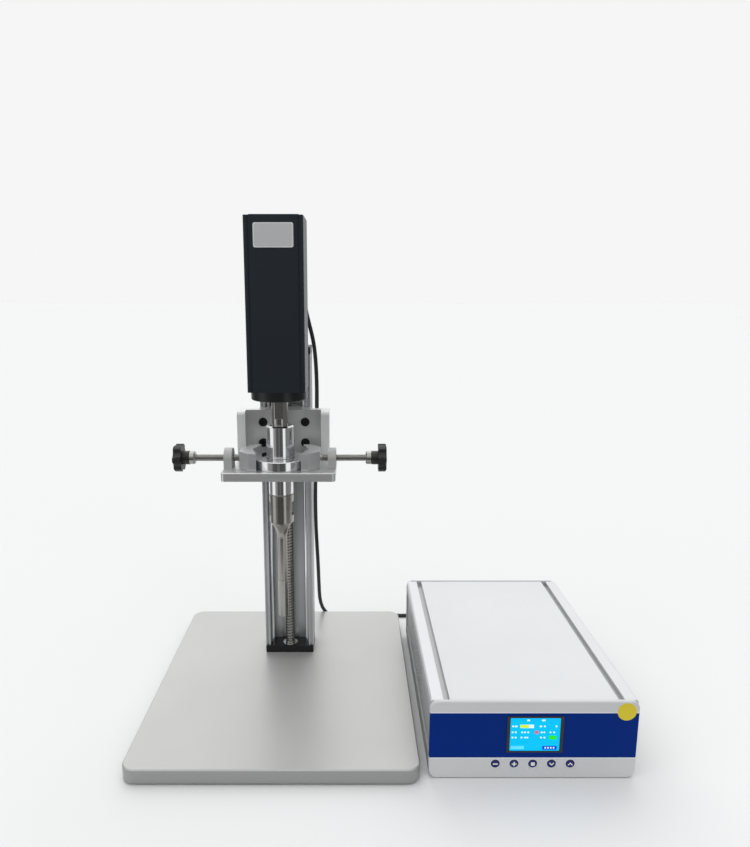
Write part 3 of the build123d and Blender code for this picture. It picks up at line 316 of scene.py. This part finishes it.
sticker_yellow = surface("sticker_yellow", (0.74, 0.60, 0.01), 0.0, (0.30, 0.4), blasted, 0.004, 0.04, edge=0)


screen_glow = 0.5


def screen_shade(name, colour):
    """A lit area of the display under its smooth cover."""
    material = surface(name, colour, 0.0, (0.14, 0.18), blasted, 0.001, 0.03, (60, 60, 60),
                       edge=0, specular=0.1)
    shader = material.node_tree.nodes["Principled BSDF"]
    shader.inputs["Emission Color"].default_value = (*colour, 1)
    shader.inputs["Emission Strength"].default_value = screen_glow
    return material


screen_cyan = screen_shade("screen_cyan", (0.0, 0.46, 0.84))
screen_pale = screen_shade("screen_pale", (0.10, 0.62, 0.84))
screen_white = screen_shade("screen_white", (0.62, 0.88, 0.94))
screen_yellow = screen_shade("screen_yellow", (0.55, 0.72, 0.02))
screen_green = screen_shade("screen_green", (0.02, 0.68, 0.02))
screen_red = screen_shade("screen_red", (0.62, 0.12, 0.20))
screen_blue = screen_shade("screen_blue", (0.004, 0.05, 0.55))

# Plate and rails: painted shade below their tops, on the plate's sides and on the rails' ledge
plate_bevel = 1.1 * mm
ledge_drop = 2.5 * mm
# Painted shade: the plate's sides darker than its top
recolour(base_metal_and_shade, (0.34, 0.345, 0.34), 0.0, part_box("base_plate")[1][2] - plate_bevel)
# Painted shade: the rails' ledge below the top darker, as in a shaded groove
recolour(rail_paint_and_shade, (0.42, 0.43, 0.43), 0.0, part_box("side_rails")[1][2] - ledge_drop)

# Side panels: painted shade, near black on everything but their outer faces, so that the vents look dark
# inside
shade_inset = 0.3 * mm
side_low, side_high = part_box("side_panels")
recolour(side_paint, (0.03, 0.03, 0.032), side_low[0] + shade_inset, side_high[0] - shade_inset, "X")
tray_paint = surface("tray_paint", (0.34, 0.345, 0.35), 0.1, (0.40, 0.52), blasted, 0.010, 0.04)

# Front panel: silver grey, with a printed blue band between two fine white lines
band_low = 23.7 * mm
band_high = 72.9 * mm
line_width = 1.1 * mm
front_finish = surface("front_finish", (0.64, 0.65, 0.66), 0.0, (0.40, 0.50), blasted, 0.006, 0.015,
                       specular=0.06)
recolour(front_finish, (0.78, 0.80, 0.84), band_low - line_width, band_high + line_width)
recolour(front_finish, (0.0002, 0.0235, 0.2050), band_low, band_high)
rear_finish = surface("rear_finish", (0.56, 0.57, 0.57), 0.0, (0.40, 0.50), blasted, 0.006, 0.015,
                      specular=0.12)

finishes = {
    base_metal_and_shade: ["base_plate"],
    bracket_metal: ["bracket_back_plate", "bracket_shelf", "carriage_block"],
    gusset_metal: ["bracket_gussets"],
    jaw_metal: ["left_jaw", "right_jaw"],
    ear_metal: ["stud_ears"],
    profile_metal: ["column_profile"],
    rod_metal: ["guide_rods", "screw_bearings"],
    chrome_metal: ["booster"],
    steel_metal: ["front_mass", "probe_tip", "back_mass"],
    horn_metal: ["horn"],
    black_oxide: ["bracket_screws", "column_bolts", "end_blocks", "stack_bolt", "coupling_studs"],
    bronze_metal: ["screw_nut", "carriage_bushes"],
    housing_finish: ["converter_housing", "converter_top_cap"],
    collar_finish: ["converter_collar"],
    knob_plastic: ["left_knob", "right_knob", "screw_knob"],
    cover_paint: ["top_cover"],
    rail_paint_and_shade: ["side_rails"],
    side_paint: ["side_panels"],
    tray_paint: ["generator_tray"],
    front_finish: ["front_panel"],
    rear_finish: ["rear_panel"],
    zinc_metal: ["fan_guard", "output_socket", "cable_plug"],
    black_plastic: ["fan_frame", "fan_rotor", "power_inlet", "power_rocker", "cable_gland", "display_module"],
    rubber: ["rubber_feet"],
    ceramic: ["piezo_rings"],
    copper_metal: ["electrodes"],
    board_finish: ["power_board"],
    button_gloss: [f"button_{i}" for i in range(1, 6)],
}


def dress(piece, material):
    if not piece.data.materials:
        piece.data.materials.append(material)
    for slot in piece.material_slots:
        slot.material = material


for material, names in finishes.items():
    for name in names:
        dress(nodes[name], material)


def finish_piece(piece, material, body):
    dress(piece, material)
    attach(piece, body)
    return piece


# Cable, as one cord from the gland to the output socket
cable_radius = 2.6
cable_pitch = 5.35
low_box, high_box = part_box("cable_coil")
coil_middle = ((low_box[0] + high_box[0]) / 2 / mm, (low_box[1] + high_box[1]) / 2 / mm)
coil_radius = 37.0
coil_turns = 3.75
coil_steps = 16
coil_lanes = ((1, 0), (-1, 0), (-1, 1), (1, 1))
lane_change = 0.35
side_step = cable_pitch / 2 * 0.96
layer_step = cable_pitch * 0.93
plug_low, plug_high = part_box("cable_plug")
plug_x = (plug_low[0] + plug_high[0]) / 2 / mm
plug_y = plug_high[1] / mm
plug_z = (plug_low[2] + plug_high[2]) / 2 / mm
gland_low, gland_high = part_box("cable_gland")
gland_x = (gland_low[0] + gland_high[0]) / 2 / mm
gland_y = gland_high[1] / mm
gland_z = (gland_low[2] + gland_high[2]) / 2 / mm
from_gland = [
    (gland_x, gland_y, gland_z),
    (gland_x, 64, gland_z),
    (20.5, 84, 489),
    (23.5, 98.5, 461),
    (28.4, 104.5, 439.5),
    (32.5, 108, 421),
    (34.8, 111, 400),
    (36.1, 112, 370),
    (36.0, 112, 338),
    (35.0, 112, 300),
    (33.7, 112, 262),
    (32.6, 112.3, 215),
    (32.8, 114.5, 172),
    (34.0, 122.5, 135),
    (34.4, 136, 106),
    (34.4, 187.7, cable_radius),
    (92, 192, cable_radius),
    (142, 192.5, cable_radius),
    (184, 194, cable_radius),
    (228, 199, cable_radius),
    (266, 207, cable_radius),
]
to_plug = [
    (plug_x - 1, 244, 12),
    (plug_x - 2, 229, 25),
    (plug_x - 1, 215, 38),
    (plug_x, 200, plug_z),
    (plug_x, plug_y, plug_z),
]


def coil_points():
    """Turns that lie beside and on each other, from the front of the coil to its left side."""
    points = []
    for i in range(int(coil_turns * coil_steps) + 1):
        turn = i / coil_steps
        lane = min(int(turn), 3)
        start_side, start_layer = coil_lanes[lane]
        end_side, end_layer = coil_lanes[min(lane + 1, 3)]
        ease = min(1.0, max(0.0, (turn - lane - (1 - lane_change)) / lane_change)) if lane < 3 else 0.0
        radius = coil_radius + side_step * (start_side + (end_side - start_side) * ease)
        height = cable_radius + layer_step * (start_layer + (end_layer - start_layer) * ease)
        angle = -pi / 2 + 2 * pi * turn
        points.append((coil_middle[0] + radius * cos(angle), coil_middle[1] + radius * sin(angle), height))
    return points


def spline_points(route):
    """Points of the smooth NURBS line that the route's points control."""
    curve = bpy.data.curves.new("route", "CURVE")
    curve.dimensions = "3D"
    spline = curve.splines.new("NURBS")
    spline.points.add(len(route) - 1)
    for point, place in zip(spline.points, route):
        point.co = (*(Vector(place) * mm), 1)
    spline.order_u = 3
    spline.use_endpoint_u = True
    spline.resolution_u = 8
    holder = bpy.data.objects.new("route", curve)
    line = bpy.data.meshes.new_from_object(holder)
    points = [vertex.co.copy() for vertex in line.vertices]
    bpy.data.meshes.remove(line)
    bpy.data.objects.remove(holder)
    bpy.data.curves.remove(curve)
    return points


def tube_mesh(name, line, radius, around=18):
    """A round tube that follows the line's points without twisting."""
    across = Vector((1, 0, 0))
    points = []
    for i, place in enumerate(line):
        ahead = (line[min(i + 1, len(line) - 1)] - line[max(i - 1, 0)]).normalized()
        across = (across - ahead * across.dot(ahead)).normalized()
        upward = ahead.cross(across)
        for j in range(around):
            angle = 2 * pi * j / around
            points.append(place + (across * cos(angle) + upward * sin(angle)) * radius)
    faces = []
    for i in range(len(line) - 1):
        for j in range(around):
            k = (j + 1) % around
            faces.append((i * around + j, i * around + k, (i + 1) * around + k, (i + 1) * around + j))
    faces.append(tuple(reversed(range(around))))
    faces.append(tuple(len(points) - around + j for j in range(around)))
    return add_mesh(name, points, faces)


cable_line = spline_points(from_gland + coil_points() + to_plug)
cable = tube_mesh("cable", cable_line, cable_radius * mm)
dress(cable, jacket)
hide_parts("cable_drop", "cable_floor", "cable_coil", "cable_tail")
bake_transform(cable)

# Lead screw with its trapezoidal thread
screw_low, screw_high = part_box("lead_screw")
column_low, column_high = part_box("column_profile")
screw_axis = Matrix.Translation(((screw_low[0] + screw_high[0]) / 2, (screw_low[1] + screw_high[1]) / 2, 0))
screw_clearance = 0.6
journal_radius = 4.0
thread_start = column_low[2] / mm + screw_clearance
thread_end = column_high[2] / mm - screw_clearance
lead_screw = turned_bar(
    "lead_screw_thread",
    [
        (screw_low[2] / mm, thread_start, journal_radius, 0),
        (thread_start, thread_start + 2, 5.9, 0),
        (thread_start + 2, thread_end - 2, 6.0, 1.5),
        (thread_end - 2, thread_end, 5.9, 0),
        (thread_end, screw_high[2] / mm, journal_radius, 0),
    ],
    screw_axis,
    pitch=4.0,
)
finish_piece(lead_screw, steel_metal, "lead_screw")
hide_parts("lead_screw")

# Clamp studs: a plain pin, a metric thread and a bevelled collar
pin_end = 46.0
collar_start = 14.3
for side, sign in (("left", -1), ("right", 1)):
    low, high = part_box(f"{side}_clamp_stud")
    inner = min(abs(low[0]), abs(high[0])) / mm
    outer = max(abs(low[0]), abs(high[0])) / mm
    along = Matrix.Rotation(sign * pi / 2, 4, "Y")
    place = Matrix.Translation((0, (low[1] + high[1]) / 2, (low[2] + high[2]) / 2))
    stud = turned_bar(
        f"{side}_stud_thread",
        [
            (inner, pin_end, 3.0, 0),
            (pin_end, pin_end + 1, 3.7, 0),
            (pin_end + 1, outer - collar_start, 3.95, 0.72),
            (outer - collar_start, outer - 14.0, 6.6, 0),
            (outer - 13.1, outer - 8.1, 7.5, 0),
            (outer - 7.7, outer, 4.0, 0),
        ],
        place @ along,
        pitch=1.25,
        rows_per_turn=6,
    )
    finish_piece(stud, steel_metal, f"{side}_clamp_screw")
    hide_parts(f"{side}_clamp_stud")

# Label plate on the housing, with a white edge in a dark frame
label_z = 539.3
label_radius = 2.0
housing_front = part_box("converter_housing")[0][1] / mm
for name, width, height, proud, material in (
    ("label_frame", 43.6, 26.8, 0.25, black_plastic),
    ("label_edge", 41.8, 25.0, 0.35, mark_white),
    ("label_face", 39.8, 23.0, 0.42, label_grey),
):
    outline = rounded_outline(0, label_z, width, height, label_radius)
    plate = front_plate(name, outline, housing_front - proud, proud)
    finish_piece(plate, material, "carriage")

# Display: a lit field with generic bars, a gauge, a round mark and a touch button
bezel_height = 0.6
field_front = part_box("display_module")[0][1] / mm + bezel_height
field_x = 238.6
field_z = 31.3
field_width = 50.0
field_height = 36.6


def field_mark(name, x, z, width, height, material, proud=0.06, radius=0.3):
    """A mark whose middle is at x, z from the field's lower left corner."""
    outline = rounded_outline(field_x + x, field_z + z, width, height, radius, 3)
    plate = front_plate(name, outline, field_front - proud, proud)
    return finish_piece(plate, material, "root")


field_mark("screen_field", field_width / 2, field_height / 2, field_width, field_height, screen_cyan, 0.03)
field_mark("screen_left_glow", 6, field_height / 2, 11.5, field_height - 1, screen_cyan, 0.035)
field_mark("gauge_empty", 16.8, 27.2, 13.6, 3.8, screen_white, 0.05)
field_mark("gauge_full", 14.4, 27.2, 8.6, 3.2, screen_yellow, 0.07)
field_mark("screen_button", 43.0, 14.8, 7.6, 4.4, screen_green, 0.06, 1.0)
field_mark("red_mark", 26.6, 20.6, 4.2, 4.2, screen_red, 0.06, 2.0)
field_mark("foot_left", 8.0, 3.6, 13.2, 3.6, screen_pale, 0.05)
field_mark("foot_right", 40.2, 3.4, 14.4, 4.2, screen_blue, 0.05)
bar_rows = (
    ("top", 33.8, (18.0, 33.0), (2.6, 3.4)),
    ("first", 27.2, (3.0, 6.0, 30.5, 34.5, 46.0), (1.8, 2.4, 2.2, 1.6, 1.6)),
    ("second", 20.6, (2.6, 5.8, 12.2, 15.0, 18.2, 31.6, 34.2, 40.4, 44.0), (1.6,) * 9),
    ("third", 14.8, (2.8, 6.0, 11.8, 15.4, 17.6, 31.2, 34.6), (1.6,) * 7),
    ("foot", 3.4, (36.0, 38.8, 41.6, 44.4), (1.5,) * 4),
)
for row_name, z, places, widths in bar_rows:
    for i, (x, width) in enumerate(zip(places, widths)):
        field_mark(f"screen_{row_name}_{i}", x, z, width, 1.7, screen_white, 0.08, 0.2)

# Round sticker on the panel's corner
sticker_x = 353.6
sticker_z = 74.4
sticker_radius = 9.4
sticker_proud = 0.12
panel_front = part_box("front_panel")[0][1] / mm
sticker = front_plate("round_sticker", round_outline(sticker_x, sticker_z, sticker_radius),
                      panel_front - sticker_proud, sticker_proud)
finish_piece(sticker, sticker_yellow, "root")

# Rings round the buttons, and the symbol on each cap
mark_proud = 0.05
ring_proud = 0.06
ring_outer = 5.2
ring_inner = 4.6
symbols = {
    "minus": [(-2.5, -0.7), (2.5, -0.7), (2.5, 0.7), (-2.5, 0.7)],
    "plus": [(-0.7, -2.4), (0.7, -2.4), (0.7, -0.7), (2.4, -0.7), (2.4, 0.7), (0.7, 0.7), (0.7, 2.4),
             (-0.7, 2.4), (-0.7, 0.7), (-2.4, 0.7), (-2.4, -0.7), (-0.7, -0.7)],
    "stop": rounded_outline(0, 0, 4.0, 3.8, 0.6, 3),
    "down": [(0, -1.8), (2.6, 0.8), (1.8, 1.6), (0, -0.2), (-1.8, 1.6), (-2.6, 0.8)],
    "up": [(0, 1.8), (-2.6, -0.8), (-1.8, -1.6), (0, 0.2), (1.8, -1.6), (2.6, -0.8)],
}
for number, (symbol, outline) in enumerate(symbols.items(), 1):
    low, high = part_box(f"button_{number}")
    x = (low[0] + high[0]) / 2 / mm
    z = (low[2] + high[2]) / 2 / mm
    cap_front = low[1] / mm
    moved = [(x + px, z + pz) for px, pz in outline]
    mark = front_plate(f"button_{number}_{symbol}", moved, cap_front - mark_proud, mark_proud)
    finish_piece(mark, mark_white, f"button_{number}")
    ring = front_plate(f"button_{number}_ring", round_outline(x, z, ring_outer), panel_front - ring_proud,
                       ring_proud, round_outline(x, z, ring_inner))
    finish_piece(ring, mark_white, "root")

# Floor, which fades out in front and at the sides, so that bright metal mirrors the room there
floor_half = 40.0
floor_front = -0.75
floor_middle_x = 0.11
floor_apex_y = -0.95
floor_widening = 0.54
side_fade = 0.14
front_fade = (-0.60, -0.28)


def lay_floor():
    corners = [
        (-floor_half, floor_front, 0),
        (floor_half, floor_front, 0),
        (floor_half, floor_half, 0),
        (-floor_half, floor_half, 0),
    ]
    floor = add_mesh("floor", corners, [(0, 1, 2, 3)], smooth=False)
    material, shader = new_material("floor", (0.81, 0.813, 0.815), 0.0, 0.9, specular=0.0)
    tree = material.node_tree
    place = place_axes(tree)
    from_middle = maths(tree, "ABSOLUTE", maths(tree, "SUBTRACT", place["X"], floor_middle_x), 0)
    half_width = maths(tree, "MULTIPLY", maths(tree, "SUBTRACT", place["Y"], floor_apex_y), floor_widening)
    inside = smooth_step(tree, maths(tree, "SUBTRACT", from_middle, half_width), side_fade, 0.0)
    behind = smooth_step(tree, place["Y"], *front_fade)
    tree.links.new(maths(tree, "MULTIPLY", inside, behind), shader.inputs["Alpha"])
    floor.data.materials.append(material)


lay_floor()

# Light: a pale room, dark behind the camera apart from some tall lit strips, and two soft lamps.
# The strips are levels round the room: 0.25 is left of the object, 0.5 the camera, 0.75 right.
ceiling_shade = (0.84, 0.843, 0.845)
wall_top = (0.62, 0.38)
strips = (
    (0.00, 0.92),
    (0.10, 0.92),
    (0.14, 0.16),
    (0.25, 0.22),
    (0.28, 1.00),
    (0.345, 1.00),
    (0.36, 0.32),
    (0.41, 0.26),
    (0.425, 0.10),
    (0.47, 0.08),
    (0.48, 0.16),
    (0.50, 0.14),
    (0.51, 0.07),
    (0.57, 0.10),
    (0.58, 1.00),
    (0.625, 1.00),
    (0.64, 0.20),
    (0.80, 0.24),
    (0.85, 0.12),
    (0.90, 0.92),
    (1.00, 0.92),
)


def light_room():
    world = bpy.data.worlds.new("room")
    world.use_nodes = True
    scene.world = world
    tree = world.node_tree
    direction = place_axes(tree, "Generated")
    forward = maths(tree, "MULTIPLY", direction["Y"], -1.0)
    bearing = maths(tree, "ARCTAN2", direction["X"], forward)
    around = tree.nodes.new("ShaderNodeMapRange")
    around.inputs["From Min"].default_value = -pi
    around.inputs["From Max"].default_value = pi
    tree.links.new(bearing, around.inputs["Value"])
    ramp = tree.nodes.new("ShaderNodeValToRGB")
    stops = ramp.color_ramp.elements
    while len(stops) < len(strips):
        stops.new(0.5)
    for stop, (place, level) in zip(stops, strips):
        stop.position = place
        stop.color = (level, level, level, 1)
    tree.links.new(around.outputs["Result"], ramp.inputs["Fac"])
    under_ceiling = smooth_step(tree, direction["Z"], *wall_top)
    room = mixed(tree, under_ceiling, ceiling_shade, ramp.outputs["Color"])
    background = tree.nodes["Background"]
    tree.links.new(room, background.inputs["Color"])
    background.inputs["Strength"].default_value = 1.0


light_room()
for name, energy, spread_angle, turn in (
    ("key", 1.05, 70, (-34, -8, 0)),
    ("fill", 0.55, 90, (46, -16, 0)),
):
    lamp_data = bpy.data.lights.new(name, "SUN")
    lamp_data.energy = energy
    lamp_data.angle = radians(spread_angle)
    lamp = bpy.data.objects.new(name, lamp_data)
    lamp.rotation_euler = [radians(angle) for angle in turn]
    scene.collection.objects.link(lamp)
